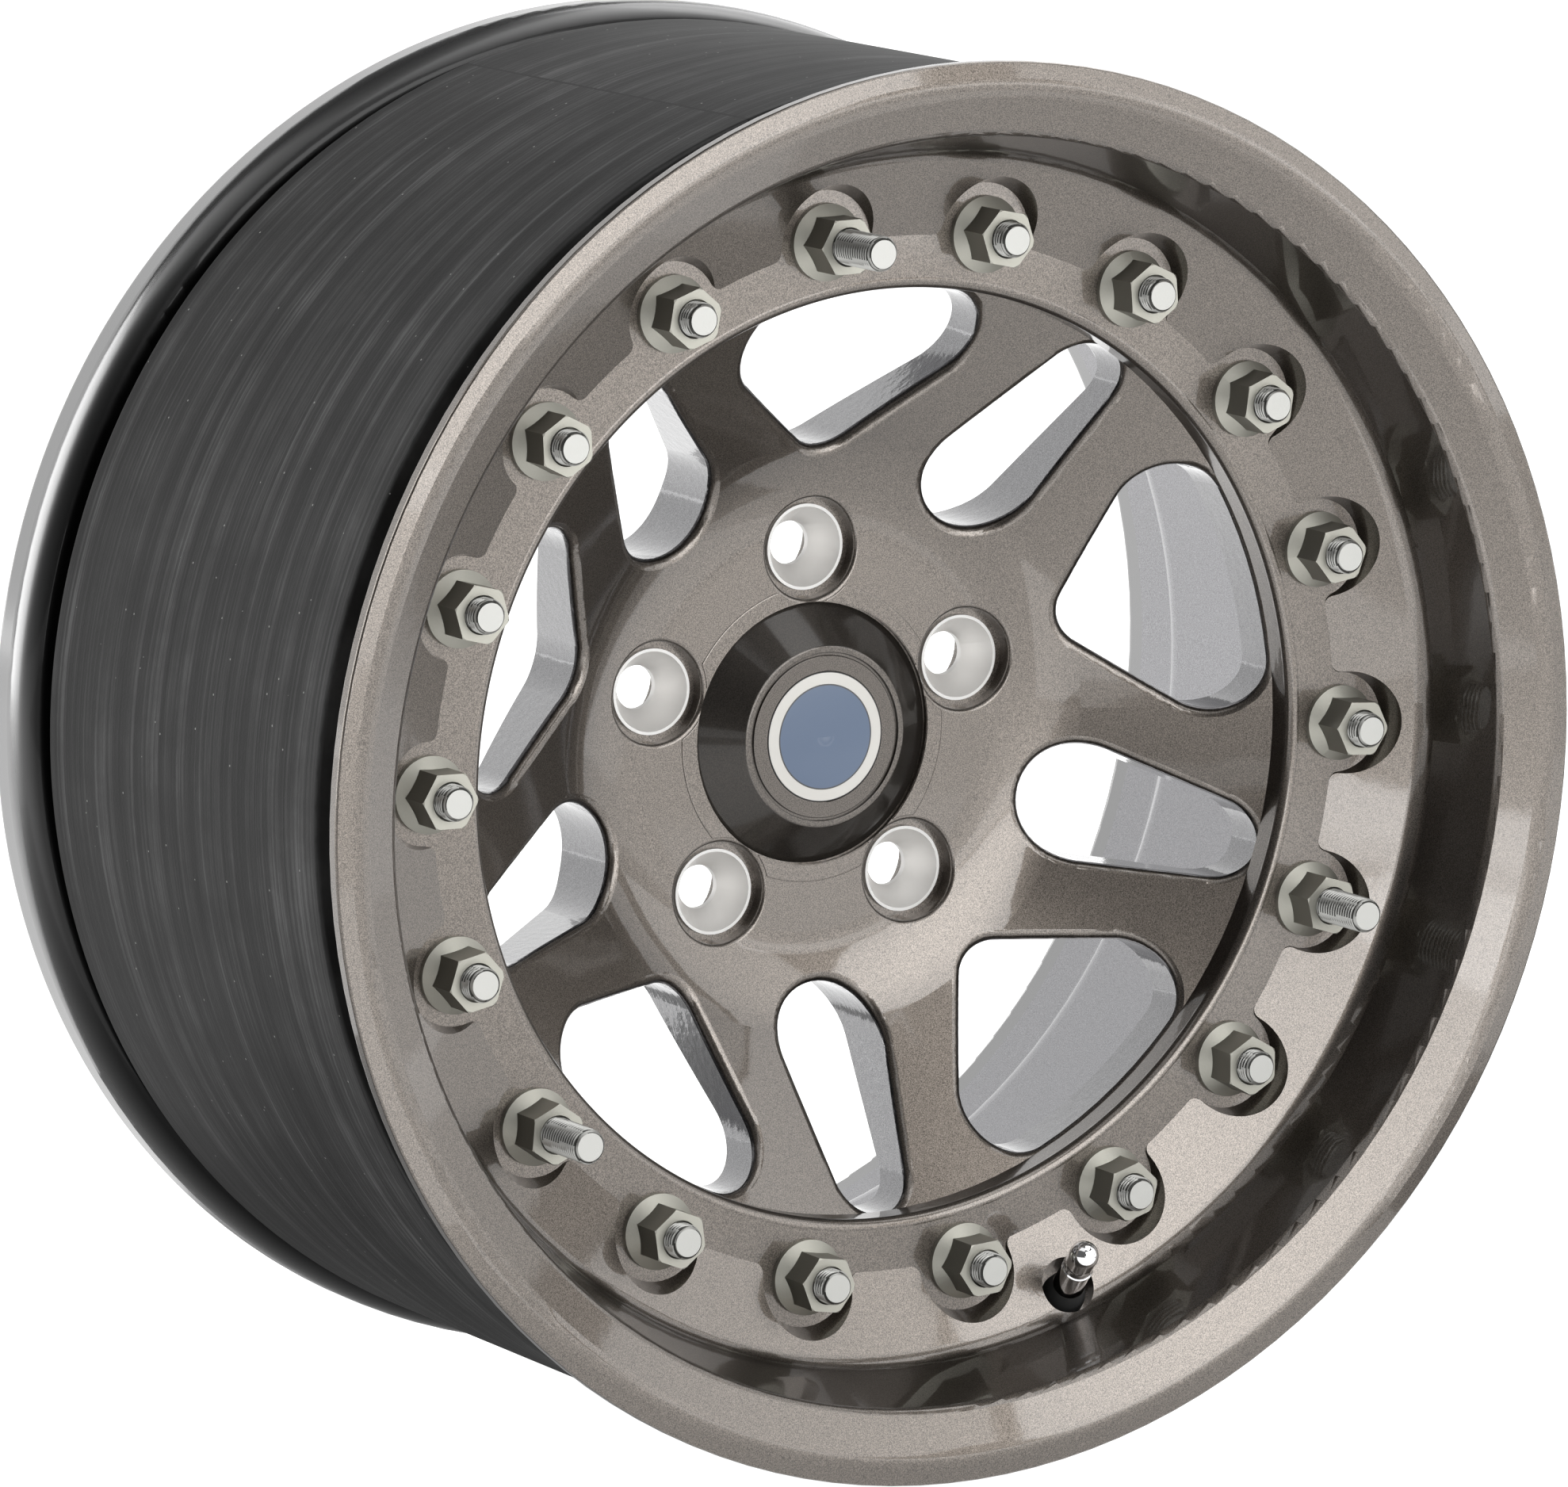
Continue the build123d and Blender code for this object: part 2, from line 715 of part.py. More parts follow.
with BuildPart() as valve_core_body:
    with BuildSketch(valve_section):
        with BuildLine():
            Polyline(*core_profile, close=True)
        make_face()
    revolve(axis=valve_line)
valve_core_body.part.label = "valve_core_body"
export_step(valve_core_body.part, "parts/valve_core_body.step")

with BuildPart() as valve_core_gasket:
    with BuildSketch(valve_mouth.offset(core_ledge - core_gasket_height)):
        Circle(stem_bore_radius - press_gap)
        Circle(core_neck_radius + press_gap, mode=Mode.SUBTRACT)
    extrude(amount=core_gasket_height - press_gap)
valve_core_gasket.part.label = "valve_core_gasket"
export_step(valve_core_gasket.part, "parts/valve_core_gasket.step")

seal_foot = core_bottom - pin_seal_height
pin_profile = [
    (0, seal_foot - pin_foot_height),
    (pin_foot_radius, seal_foot - pin_foot_height),
    (pin_foot_radius, seal_foot),
    (pin_radius, seal_foot),
    (pin_radius, pin_collar[0]),
    (pin_collar_radius, pin_collar[0]),
    (pin_collar_radius, pin_collar[1]),
    (pin_radius, pin_collar[1]),
    (pin_radius, pin_top),
    (0, pin_top),
]

with BuildPart() as valve_pin:
    with BuildSketch(valve_section):
        with BuildLine():
            Polyline(*pin_profile, close=True)
        make_face()
    revolve(axis=valve_line)
valve_pin.part.label = "valve_pin"
export_step(valve_pin.part, "parts/valve_pin.step")

with BuildPart() as valve_pin_seal:
    with BuildSketch(valve_mouth.offset(seal_foot)):
        Circle(pin_seal_radius)
        Circle(pin_radius + press_gap, mode=Mode.SUBTRACT)
    extrude(amount=pin_seal_height)
valve_pin_seal.part.label = "valve_pin_seal"
export_step(valve_pin_seal.part, "parts/valve_pin_seal.step")

spring_foot = core_ledge + spring_wire
spring_length = pin_collar[0] - core_ledge - 2 * spring_wire
coil_plane = valve_mouth.offset(spring_foot)

with BuildPart() as valve_spring:
    with BuildLine() as coil:
        Helix(
            spring_length / spring_turns,
            spring_length,
            spring_radius,
            center=coil_plane.origin,
            direction=coil_plane.z_dir,
        )
    with BuildSketch(Plane(origin=coil.line @ 0, z_dir=coil.line % 0)):
        RegularPolygon(spring_wire, 6)
    sweep(path=coil.line, is_frenet=True)
valve_spring.part.label = "valve_spring"
export_step(valve_spring.part, "parts/valve_spring.step")

# Centre cap, its badge and the wire ring that holds it in the hub
leg_radius = cap_bore_radius - 2 * running_gap
leg_inner_radius = leg_radius - cap_leg_wall
wire_radius = cap_bore_radius - running_gap - retaining_wire
wire_groove = wire_radius - retaining_wire - press_gap
badge_fit = emblem_radius + press_gap
cap_profile = [
    ((0, cap_top - emblem_recess), 0),
    ((badge_fit, cap_top - emblem_recess), 0),
    ((badge_fit, cap_top), 0.4),
    ((cap_groove_radius - cap_groove_width, cap_top), 0.3),
    ((cap_groove_radius - cap_groove_width, cap_top - cap_groove_depth), 0),
    ((cap_groove_radius, cap_top - cap_groove_depth), 0),
    ((cap_groove_radius, cap_top + cap_top_ring), 0.3),
    ((cap_shoulder_radius, cap_top + cap_top_ring), cap_shoulder_round),
    ((cap_base_radius, cap_seat + cap_base_edge), 0),
    ((cap_base_radius, cap_seat), 0),
    ((cap_foot_radius, cap_seat), 0),
    ((leg_radius, cap_seat + 2.4), 0),
    ((leg_radius, retaining_height + retaining_wire), 0),
    ((wire_groove, retaining_height + retaining_wire), 0),
    ((wire_groove, retaining_height - retaining_wire), 0),
    ((leg_radius, retaining_height - retaining_wire), 0),
    ((leg_radius, cap_leg_end), 0.5),
    ((leg_inner_radius, cap_leg_end), 0.5),
    ((leg_inner_radius, cap_seat + 3.4), 0),
    ((cap_groove_radius, cap_inner_height), 0),
    ((0, cap_inner_height), 0),
]

with BuildPart() as centre_cap:
    with BuildSketch(section):
        with BuildLine():
            FilletPolyline(*[p for p, _ in cap_profile], radius=[r for _, r in cap_profile], close=True)
        make_face()
    revolve(axis=Axis.Y)
    with BuildSketch(Plane.XZ.offset(cap_leg_end - 1)):
        with PolarLocations(leg_radius, cap_leg_slots):
            Rectangle(4 * cap_leg_wall, cap_leg_slot_width)
    extrude(amount=cap_seat - cap_leg_end - 1, mode=Mode.SUBTRACT)
centre_cap.part.label = "centre_cap"
export_step(centre_cap.part, "parts/centre_cap.step")

emblem_sweep = (emblem_radius ** 2 + emblem_dome ** 2) / (2 * emblem_dome)
with BuildPart() as cap_emblem:
    with BuildSketch(section):
        with BuildLine():
            Polyline((0, cap_top), (0, cap_top - emblem_recess), (emblem_radius, cap_top - emblem_recess))
            Line((emblem_radius, cap_top - emblem_recess), (emblem_radius, cap_top))
            RadiusArc((0, cap_top + emblem_dome), (emblem_radius, cap_top), emblem_sweep)
            Line((0, cap_top + emblem_dome), (0, cap_top))
        make_face()
    revolve(axis=Axis.Y)
cap_emblem.part.label = "cap_emblem"
export_step(cap_emblem.part, "parts/cap_emblem.step")

with BuildPart() as cap_retaining_ring:
    with BuildSketch(section):
        with Locations((wire_radius, retaining_height)):
            Circle(retaining_wire - press_gap)
    revolve(axis=Axis.Y, revolution_arc=345)
cap_retaining_ring.part.label = "cap_retaining_ring"
export_step(cap_retaining_ring.part, "parts/cap_retaining_ring.step")
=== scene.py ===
"""Looks for the beadlock wheel: finishes, threads, fine forms, studio light and the photograph's camera."""

from math import cos, pi, radians, sin, tan

import bpy
from mathutils import Matrix, Vector


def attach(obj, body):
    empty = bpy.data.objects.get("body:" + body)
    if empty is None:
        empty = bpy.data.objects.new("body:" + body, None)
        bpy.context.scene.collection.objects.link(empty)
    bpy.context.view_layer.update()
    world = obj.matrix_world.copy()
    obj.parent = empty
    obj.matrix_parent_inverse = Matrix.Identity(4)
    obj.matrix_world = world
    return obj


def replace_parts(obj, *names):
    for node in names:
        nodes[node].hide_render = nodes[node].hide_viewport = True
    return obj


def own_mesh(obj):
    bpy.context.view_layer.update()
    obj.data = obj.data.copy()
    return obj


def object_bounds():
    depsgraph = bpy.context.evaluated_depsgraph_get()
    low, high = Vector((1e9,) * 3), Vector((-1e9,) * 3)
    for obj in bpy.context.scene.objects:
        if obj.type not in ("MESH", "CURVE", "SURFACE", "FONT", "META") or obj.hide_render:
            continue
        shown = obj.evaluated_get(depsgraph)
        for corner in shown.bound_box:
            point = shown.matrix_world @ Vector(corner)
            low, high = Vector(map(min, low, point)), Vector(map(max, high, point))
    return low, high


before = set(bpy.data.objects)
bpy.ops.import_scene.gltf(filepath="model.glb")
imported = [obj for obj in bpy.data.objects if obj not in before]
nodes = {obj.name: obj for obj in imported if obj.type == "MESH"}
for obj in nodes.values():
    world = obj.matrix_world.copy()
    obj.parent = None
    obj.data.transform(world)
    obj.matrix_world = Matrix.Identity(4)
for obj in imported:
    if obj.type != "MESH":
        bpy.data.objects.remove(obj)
cad_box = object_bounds()


# Shader helpers

def new_material(name, **sockets):
    """A material with a Principled shader whose sockets are set by name."""
    material = bpy.data.materials.new(name)
    material.use_nodes = True
    shader = material.node_tree.nodes["Principled BSDF"]
    for key, value in sockets.items():
        shader.inputs[key.replace("_", " ")].default_value = value
    return material, material.node_tree, shader


def add_node(tree, kind, inputs=None, **properties):
    """A node of a kind, with its input sockets and its properties set by name."""
    node = tree.nodes.new("ShaderNode" + kind)
    for key, value in (inputs or {}).items():
        node.inputs[key].default_value = value
    for key, value in properties.items():
        setattr(node, key, value)
    return node


def math_node(tree, operation, first, second=None, clamp=False):
    """A math operation on one or two values, each a socket or a plain number."""
    node = add_node(tree, "Math", operation=operation, use_clamp=clamp)
    for index, value in enumerate((first, second)):
        if value is None:
            continue
        if isinstance(value, (int, float)):
            node.inputs[index].default_value = value
        else:
            tree.links.new(value, node.inputs[index])
    return node.outputs[0]


def ramp_node(tree, factor, stops, interpolation="LINEAR"):
    """A colour ramp fed by a socket; stops are (position, colour)."""
    node = add_node(tree, "ValToRGB")
    ramp = node.color_ramp
    ramp.interpolation = interpolation
    while len(ramp.elements) < len(stops):
        ramp.elements.new(0.5)
    for element, (position, colour) in zip(ramp.elements, stops):
        element.position = position
        element.color = (*colour, 1.0)
    tree.links.new(factor, node.inputs["Fac"])
    return node.outputs["Color"]


def mix_node(tree, factor, first, second):
    """A blend of two colours by a socket; a colour is a socket or plain numbers."""
    node = add_node(tree, "Mix", data_type="RGBA")
    factor_input, first_input, second_input, colour_output = 0, 6, 7, 2
    for index, value in ((factor_input, factor), (first_input, first), (second_input, second)):
        if isinstance(value, tuple):
            node.inputs[index].default_value = (*value, 1.0)
        else:
            tree.links.new(value, node.inputs[index])
    return node.outputs[colour_output]


def place_node(tree):
    """The place on the wheel, in metres."""
    return add_node(tree, "TexCoord").outputs["Object"]


def split_node(tree, vector):
    """The x, y and z of a vector socket."""
    node = add_node(tree, "SeparateXYZ")
    tree.links.new(vector, node.inputs[0])
    return node.outputs


def radius_node(tree, place):
    """The distance from the axle."""
    x, _, z = split_node(tree, place)
    square = math_node(tree, "ADD", math_node(tree, "MULTIPLY", x, x), math_node(tree, "MULTIPLY", z, z))
    return math_node(tree, "SQRT", square)


def height_node(tree, place):
    """The height above the hub pad, toward the front."""
    return math_node(tree, "MULTIPLY", split_node(tree, place)[1], -1.0)


def angle_node(tree, place):
    """The angle round the axle, in radians."""
    x, _, z = split_node(tree, place)
    return math_node(tree, "ARCTAN2", z, x)


def forward_node(tree):
    """How far the surface faces the front: 1 on a front face, 0 on a wall, -1 on a rear face."""
    normal = add_node(tree, "TexCoord").outputs["Normal"]
    return math_node(tree, "MULTIPLY", split_node(tree, normal)[1], -1.0)


def noise_node(tree, place, scale, detail=2.0, roughness=0.5):
    """The factor of a noise texture at a scale in cycles per metre."""
    node = add_node(tree, "TexNoise", {"Scale": scale, "Detail": detail, "Roughness": roughness})
    tree.links.new(place, node.inputs["Vector"])
    return node.outputs["Fac"]


def join_bump(tree, height, strength, distance, shader, coat=False):
    """Joins a bump fed by a socket to the shader's normal, and to its clear coat's as well if asked."""
    node = add_node(tree, "Bump", {"Strength": strength, "Distance": distance})
    tree.links.new(height, node.inputs["Height"])
    tree.links.new(node.outputs["Normal"], shader.inputs["Normal"])
    if coat:
        tree.links.new(node.outputs["Normal"], shader.inputs["Coat Normal"])


def grey(value):
    """A neutral colour."""
    return (value, value, value)


# Finishes: radii and heights are in metres, colours are linear, and noise scales are in cycles per metre

flake_scale = 2800.0
grain_depth = 0.0003


def rim_paint(name, inner=False):
    """Dark bronze metallic paint under a gloss clear coat that ripples a little on the cast walls.

    On the inner rim, painted reflection makes the window walls and barrel paler and cooler. The rear flange
    carries a painted reflection and shade, pale where it turns sideways and near black where it faces the
    front. Its barrel has no gloss.
    """
    paint_roughness, ripple_floor, ripple_power = 0.33, 0.15, 3.0
    ripple_scale, ripple_strength, ripple_depth = 300.0, 0.08, 0.0006
    ripple_radius, ripple_gain = (0.178, 2.0) if inner else (0.158, 1.0)
    material, tree, shader = new_material(
        name, Metallic=1.0, Roughness=paint_roughness, Coat_Weight=1.0, Coat_Roughness=0.05, Coat_IOR=1.5
    )
    place = place_node(tree)
    radius = radius_node(tree, place)
    forward = forward_node(tree)
    flake = noise_node(tree, place, flake_scale, 1.0)
    colour = ramp_node(tree, flake, [(0.30, (0.0515, 0.045, 0.039)), (0.70, (0.173, 0.1505, 0.131))])
    wall = math_node(tree, "SUBTRACT", 1.0, math_node(tree, "ABSOLUTE", forward))
    within = math_node(tree, "LESS_THAN", radius, ripple_radius)
    rippled = math_node(tree, "MULTIPLY", math_node(tree, "POWER", wall, ripple_power), within)
    amount = math_node(tree, "ADD", ripple_floor, math_node(tree, "MULTIPLY", rippled, ripple_gain))
    if inner:
        hub_radius, barrel_radius, flange_height, disc_height = 0.085, 0.16, -0.090, 0.0575
        wall_from, wall_gain, reflection_share, flange_dull, window_gloss = 0.45, 2.5, 0.85, 0.8, 0.15
        height = height_node(tree, place)
        steep = math_node(tree, "SUBTRACT", wall, wall_from)
        upright = math_node(tree, "MULTIPLY", steep, wall_gain, True)
        window = math_node(tree, "MULTIPLY", upright, math_node(tree, "GREATER_THAN", radius, hub_radius))
        behind = math_node(tree, "LESS_THAN", height, flange_height)
        ahead = math_node(tree, "SUBTRACT", math_node(tree, "LESS_THAN", height, disc_height), behind)
        barrel = math_node(tree, "MULTIPLY", math_node(tree, "GREATER_THAN", radius, barrel_radius), ahead)
        # Painted reflection: the steep window walls and the barrel get paler, cooler colours standing in for
        # the bright rear light they reflect
        cool_reflection = ramp_node(tree, flake, [(0.34, (0.105, 0.106, 0.111)), (0.66, (0.225, 0.227, 0.237))])
        silver_reflection = ramp_node(tree, flake, [(0.34, (0.215, 0.214, 0.220)), (0.66, (0.325, 0.323, 0.333))])
        # Painted reflection and shade on the rear flange: pale where it turns sideways, near black where it
        # faces the front
        curl_reflection_shade = ramp_node(tree, forward, [(0.1, grey(0.25)), (0.9, grey(0.022))])
        colour = mix_node(tree, math_node(tree, "MULTIPLY", window, reflection_share), colour, cool_reflection)
        colour = mix_node(tree, barrel, colour, silver_reflection)
        colour = mix_node(tree, behind, colour, curl_reflection_shade)
        dull = math_node(tree, "ADD", barrel, math_node(tree, "MULTIPLY", behind, flange_dull))
        tree.links.new(math_node(tree, "SUBTRACT", 1.0, dull), shader.inputs["Coat Weight"])
        smoother = math_node(tree, "MULTIPLY", window, window_gloss)
        tree.links.new(math_node(tree, "SUBTRACT", paint_roughness, smoother), shader.inputs["Roughness"])
    tree.links.new(colour, shader.inputs["Base Color"])
    relief = math_node(tree, "MULTIPLY", noise_node(tree, place, ripple_scale), amount)
    join_bump(tree, relief, ripple_strength, ripple_depth, shader, True)
    return material


def join_rubber_grain(tree, place, shader):
    """Gives the shader the fine moulded grain of rubber."""
    grain_scale, grain_detail, grain_strength = 900.0, 4.0, 0.2
    grain = noise_node(tree, place, grain_scale, grain_detail)
    join_bump(tree, grain, grain_strength, grain_depth, shader)


def rubber(name, base):
    """Plain dark rubber."""
    material, tree, shader = new_material(name, Base_Color=(*grey(base), 1.0), Roughness=0.6)
    join_rubber_grain(tree, place_node(tree), shader)
    return material


def insert_finish():
    """Charcoal rubber with paler streaks that run round the hoop, a few specks and one moulding seam."""
    full_turn, seam_angle, seam_width = 2.0 * pi, radians(107.0), 0.0044
    streak_stretch, speck_scale, speck_size = 0.0018, 120.0, 0.045
    wide_share, fine_share, cloud_share = 0.35, 0.45, 0.2
    material, tree, shader = new_material("insert_rubber", Roughness=0.55, Specular_IOR_Level=0.12)
    place = place_node(tree)
    turned = math_node(tree, "ADD", angle_node(tree, place), full_turn - seam_angle)
    past_seam = math_node(tree, "MODULO", turned, full_turn)
    track = add_node(tree, "CombineXYZ")
    tree.links.new(math_node(tree, "MULTIPLY", past_seam, streak_stretch), track.inputs[0])
    tree.links.new(height_node(tree, place), track.inputs[1])
    wide = noise_node(tree, track.outputs[0], 95.0, 2.0, 0.6)
    fine = noise_node(tree, track.outputs[0], 640.0, 4.0, 0.7)
    cloud = noise_node(tree, place, 30.0, 6.0, 0.65)
    mixed = math_node(tree, "MULTIPLY", wide, wide_share)
    for layer, share in ((fine, fine_share), (cloud, cloud_share)):
        mixed = math_node(tree, "ADD", mixed, math_node(tree, "MULTIPLY", layer, share))
    streaks = ramp_node(
        tree, mixed, [(0.40, grey(0.006)), (0.49, grey(0.013)), (0.55, grey(0.026)), (0.63, grey(0.06))]
    )
    speck = add_node(tree, "TexVoronoi", {"Scale": speck_scale})
    tree.links.new(place, speck.inputs["Vector"])
    dot = math_node(tree, "LESS_THAN", speck.outputs["Distance"], speck_size)
    colour = mix_node(tree, dot, streaks, (0.16, 0.16, 0.155))
    seam = math_node(tree, "LESS_THAN", past_seam, seam_width)
    tree.links.new(mix_node(tree, seam, colour, grey(0.006)), shader.inputs["Base Color"])
    join_rubber_grain(tree, place, shader)
    return material


def metal(name, colour, roughness, grain_scale=0.0, grain_strength=0.0):
    """Bare or plated metal with an optional fine grain."""
    material, tree, shader = new_material(
        name, Base_Color=(*colour, 1.0), Metallic=1.0, Roughness=roughness
    )
    if grain_scale:
        grain = noise_node(tree, place_node(tree), grain_scale, 3.0)
        join_bump(tree, grain, grain_strength, grain_depth, shader)
    return material


def cap_paint():
    """Gloss paint with fine metal flake: bronze on the flat rings round the badge, with painted shade making
    it dark where it slants, as on the cone.
    """
    flat_from, flat_gain = 0.88, 10.0
    material, tree, shader = new_material(
        "cap_paint", Metallic=0.75, Roughness=0.34, Coat_Weight=0.6, Coat_Roughness=0.08
    )
    flake = noise_node(tree, place_node(tree), flake_scale, 1.0)
    # Painted shade: faces that slant away from the front get this near-black colour in place of the dark
    # studio they reflect
    painted_cone_shade = ramp_node(tree, flake, [(0.3, (0.0140, 0.0120, 0.0100)), (0.7, (0.039, 0.0330, 0.0275))])
    bronze = ramp_node(tree, flake, [(0.3, (0.036, 0.0315, 0.0270)), (0.7, (0.105, 0.0910, 0.0790))])
    facing = math_node(tree, "SUBTRACT", forward_node(tree), flat_from)
    flat = math_node(tree, "MULTIPLY", facing, flat_gain, True)
    tree.links.new(mix_node(tree, flat, painted_cone_shade, bronze), shader.inputs["Base Color"])
    return material


def seat_finish():
    """Turned steel, with painted shade darkening the ring that faces the front."""
    material, tree, shader = new_material("machined_steel", Metallic=1.0, Roughness=0.54)
    # Painted shade: the darker colour goes on the faces that look to the front
    stops = [(0.78, (0.74, 0.73, 0.715)), (0.95, (0.47, 0.465, 0.455))]
    tree.links.new(ramp_node(tree, forward_node(tree), stops), shader.inputs["Base Color"])
    return material


def emblem_finish():
    """A plain round badge: off-white ring with thin dark edges round a slate-blue centre."""
    badge_radius = 0.0222
    slate, thin_line, off_white = (0.040, 0.070, 0.128), (0.012, 0.013, 0.015), (0.42, 0.41, 0.385)
    material, tree, shader = new_material("emblem", Roughness=0.3, Coat_Weight=0.5, Coat_Roughness=0.1)
    share = math_node(tree, "DIVIDE", radius_node(tree, place_node(tree)), badge_radius)
    stops = [(0.0, slate), (0.79, thin_line), (0.815, off_white), (0.985, grey(0.02))]
    tree.links.new(ramp_node(tree, share, stops, "CONSTANT"), shader.inputs["Base Color"])
    return material


def dress(name, material):
    """Puts a material on a CAD node."""
    mesh = nodes[name].data
    mesh.materials.clear()
    mesh.materials.append(material)


paint = rim_paint("rim_paint")
inner_paint = rim_paint("rim_paint_inner", True)
insert_rubber = insert_finish()
seal_rubber = rubber("seal_rubber", 0.02)
zinc = metal("zinc_steel", (0.30, 0.295, 0.262), 0.48, 1400.0, 0.12)
bright_steel = metal("stud_steel", (0.36, 0.36, 0.345), 0.46, 1400.0, 0.10)
# Painted shade: a near-black steel for the thread roots, standing in for the shade down in the grooves
thread_root_shade = metal("thread_root_shade", (0.07, 0.07, 0.066), 0.6)
spring = metal("spring_steel", (0.55, 0.55, 0.56), 0.3)
chrome = metal("chrome", (0.82, 0.82, 0.83), 0.09)
brass = metal("brass", (0.72, 0.53, 0.24), 0.28)

dress("inner_rim", inner_paint)
dress("outer_rim", paint)
dress("bead_insert", insert_rubber)
dress("lug_seats", seat_finish())
dress("centre_cap", cap_paint())
dress("cap_emblem", emblem_finish())
for name in ("clamp_nuts", "short_studs", "long_studs"):
    dress(name, zinc)
for name in ("cap_retaining_ring", "valve_spring"):
    dress(name, spring)
for name in ("valve_sleeve", "valve_cap"):
    dress(name, chrome)
for name in ("valve_stem", "valve_core_body", "valve_pin"):
    dress(name, brass)
for name in ("rim_seal", "valve_grommet", "valve_cap_seal", "valve_core_gasket", "valve_pin_seal"):
    dress(name, seal_rubber)


# Pieces the scene adds: heights are above the hub pad, which is at y = 0, and the front is -y

sharp_angle = radians(38.0)


def link(name, data):
    """A new object in the scene."""
    piece = bpy.data.objects.new(name, data)
    bpy.context.scene.collection.objects.link(piece)
    return piece


def shaded_mesh(name, vertices, faces, *materials):
    """A mesh that is smooth but for its sharp edges."""
    mesh = bpy.data.meshes.new(name)
    mesh.from_pydata(vertices, [], faces)
    mesh.shade_smooth()
    mesh.set_sharp_from_angle(angle=sharp_angle)
    for material in materials:
        mesh.materials.append(material)
    return mesh


# Threaded studs: the source has them plain

stud_circle, stud_radius, thread_depth, thread_pitch = 0.17745, 0.006, 0.00085, 0.0015
thread_start, head_radius, head_foot, head_top = 0.0985, 0.0095, 0.0547, 0.0587
long_tip, short_tip, tip_chamfer = 0.1239, 0.1074, 0.00125
cut_peak, cut_slope, rows_per_turn, stud_sides = 1.35, 2.9, 6, 36
stud_count, first_stud, stud_step, long_every = 18, 98.13, 20.0, 6


def stud_rings(tip):
    """Rings of (radius all the way round, depth of thread all the way round, height), head to tip."""
    plain = [0.0] * stud_sides
    rings = [
        ([radius] * stud_sides, plain, height)
        for radius, height in (
            (head_radius, head_foot),
            (head_radius, head_top),
            (stud_radius, head_top),
            (stud_radius, thread_start),
        )
    ]
    rows = int(round((tip - thread_start) / (thread_pitch / rows_per_turn)))
    for row in range(1, rows + 1):
        height = thread_start + (tip - thread_start) * row / rows
        limit = stud_radius - max(0.0, height - (tip - tip_chamfer))
        phases = [(height / thread_pitch - k / stud_sides) % 1.0 for k in range(stud_sides)]
        cuts = [min(1.0, max(0.0, cut_peak - cut_slope * abs(phase - 0.5))) for phase in phases]
        rings.append(([min(limit, stud_radius - thread_depth * cut) for cut in cuts], cuts, height))
    return rings


def stud_mesh(name, tip, angles):
    """One mesh of the studs at these angles, each with its own turn of thread and painted shade darkening
    its thread roots.
    """
    own_turn, shade_from = 3.1, 1.2
    vertices, faces, finish = [], [], []
    rings = stud_rings(tip)
    for angle in angles:
        first = len(vertices)
        centre = Vector((stud_circle * cos(radians(angle)), 0.0, stud_circle * sin(radians(angle))))
        for radii, _, height in rings:
            for k, radius in enumerate(radii):
                around = 2 * pi * k / stud_sides + own_turn * angle
                vertices.append(centre + Vector((radius * cos(around), -height, radius * sin(around))))
        for row in range(len(rings) - 1):
            for k in range(stud_sides):
                a = first + row * stud_sides + k
                b = first + row * stud_sides + (k + 1) % stud_sides
                faces.append((a, b, b + stud_sides, a + stud_sides))
                # Faces deep in a groove take the painted shade material
                finish.append(int(rings[row][1][k] + rings[row + 1][1][k] > shade_from))
        last = first + (len(rings) - 1) * stud_sides
        faces.append(tuple(first + k for k in reversed(range(stud_sides))))
        faces.append(tuple(last + k for k in range(stud_sides)))
        finish += [0, 0]
    mesh = shaded_mesh(name, vertices, faces, bright_steel, thread_root_shade)
    mesh.polygons.foreach_set("material_index", finish)
    studs = link(name, mesh)
    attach(studs, "wheel")
    return studs


stud_angles = [first_stud - stud_step * k for k in range(stud_count)]
short_angles = [angle for k, angle in enumerate(stud_angles) if k % long_every]
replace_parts(stud_mesh("threaded_long_studs", long_tip, stud_angles[::long_every]), "long_studs")
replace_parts(stud_mesh("threaded_short_studs", short_tip, short_angles), "short_studs")


# Valve spring: a copy of the imported spring, with a mesh of its own, rides on the wheel in place of the
# original

coil = link("pressed_spring", nodes["valve_spring"].data.copy())
coil.matrix_world = nodes["valve_spring"].matrix_world.copy()
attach(coil, "wheel")
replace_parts(coil, "valve_spring")
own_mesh(coil)


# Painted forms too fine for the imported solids

def painted(name, vertices, faces, finish):
    """Adds a painted mesh that rides on the wheel."""
    piece = link(name, shaded_mesh(name, vertices, faces, finish))
    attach(piece, "wheel")


